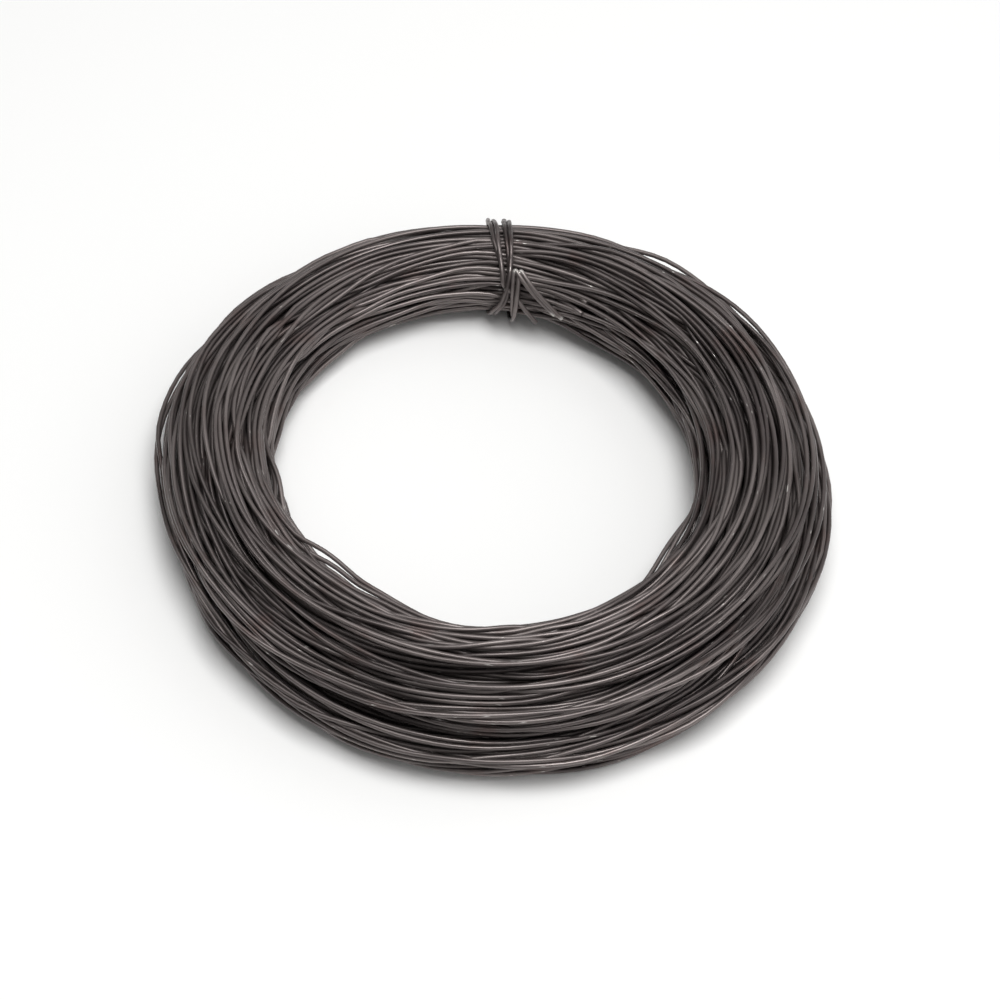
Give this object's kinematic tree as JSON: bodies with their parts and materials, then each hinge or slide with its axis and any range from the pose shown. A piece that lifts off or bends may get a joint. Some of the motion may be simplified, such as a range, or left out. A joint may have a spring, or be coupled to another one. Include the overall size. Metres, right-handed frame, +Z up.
{
  "type": "coil of twisted annealed wire",
  "caption": "Ring-shaped coil of black annealed wire, two soft strands twisted together and wound by hand, tied with a short length of the same wire; stock for binding and tying.",
  "frame": {"origin": "on the floor, under the middle of the coil", "axes": "+Z up through the eye of the coil, +Y towards the tie, +X to the right as seen from the side opposite the tie"},
  "size_m": [0.1705, 0.1691, 0.0313],
  "materials": {
    "annealed_wire": "black annealed low-carbon steel wire, dull oxide skin with a satin sheen"
  },
  "bodies": {
    "root": {"coil": "annealed_wire", "tie_wire": "annealed_wire"}
  },
  "joints": []
}
